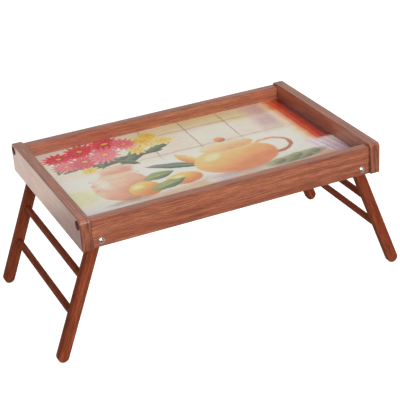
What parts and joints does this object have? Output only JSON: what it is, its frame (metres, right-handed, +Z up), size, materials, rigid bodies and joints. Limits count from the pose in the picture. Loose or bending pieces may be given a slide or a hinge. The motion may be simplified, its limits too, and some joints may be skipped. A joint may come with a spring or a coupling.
{
  "type": "folding tray table",
  "caption": "Rectangular wooden bed tray with raised rails and a glossy picture panel, standing on two splayed leg frames that fold flat under the tray.",
  "frame": {"origin": "on the standing surface, below the middle of the tray", "axes": "+X along the tray's length towards the right end board, +Y from the front rail to the back rail, +Z up"},
  "size_m": [0.6008, 0.3202, 0.237],
  "materials": {
    "tray_wood": "satin lacquered reddish-brown stained wood",
    "leg_wood": "satin lacquered reddish-brown stained wood",
    "fibreboard": "bare hard fibreboard",
    "picture_film": "glossy film printed with a still life",
    "chromed_screw": "bright chrome",
    "zinc_steel": "zinc plated",
    "nylon": "natural nylon",
    "brown_cap": "satin moulded plastic",
    "dowel_wood": "bare beech"
  },
  "bodies": {
    "tray": {"end_board_left": "tray_wood", "end_board_right": "tray_wood", "rail_front": "tray_wood", "rail_back": "tray_wood", "tray_panel": "fibreboard", "picture_film": "picture_film", "pivot_screw_left_front": "chromed_screw", "pivot_screw_left_back": "chromed_screw", "pivot_screw_right_front": "chromed_screw", "pivot_screw_right_back": "chromed_screw", "spacer_left_front": "nylon", "spacer_left_back": "nylon", "spacer_right_front": "nylon", "spacer_right_back": "nylon", "washer_left_front": "zinc_steel", "washer_left_back": "zinc_steel", "washer_right_front": "zinc_steel", "washer_right_back": "zinc_steel", "lock_nut_left_front": "zinc_steel", "lock_nut_left_back": "zinc_steel", "lock_nut_right_front": "zinc_steel", "lock_nut_right_back": "zinc_steel", "corner_screw_left_front": "zinc_steel", "corner_screw_left_back": "zinc_steel", "corner_screw_right_front": "zinc_steel", "corner_screw_right_back": "zinc_steel", "cover_cap_left_front": "brown_cap", "cover_cap_left_back": "brown_cap", "cover_cap_right_front": "brown_cap", "cover_cap_right_back": "brown_cap", "dowel_left_front": "dowel_wood", "dowel_left_back": "dowel_wood", "dowel_right_front": "dowel_wood", "dowel_right_back": "dowel_wood"},
    "left_leg_frame": {"leg_left_front": "leg_wood", "leg_left_back": "leg_wood", "crossbar_left_upper": "leg_wood", "crossbar_left_lower": "leg_wood"},
    "right_leg_frame": {"leg_right_front": "leg_wood", "leg_right_back": "leg_wood", "crossbar_right_upper": "leg_wood", "crossbar_right_lower": "leg_wood"}
  },
  "joints": [
    {"name": "left_leg_fold", "type": "hinge", "parent": "tray", "child": "left_leg_frame", "pos_m": [-0.21905, 0, 0.1974], "axis": [0, -1, 0], "range_deg": [0, 111]},
    {"name": "right_leg_fold", "type": "hinge", "parent": "tray", "child": "right_leg_frame", "pos_m": [0.21905, 0, 0.1974], "axis": [0, 1, 0], "range_deg": [0, 111]}
  ]
}
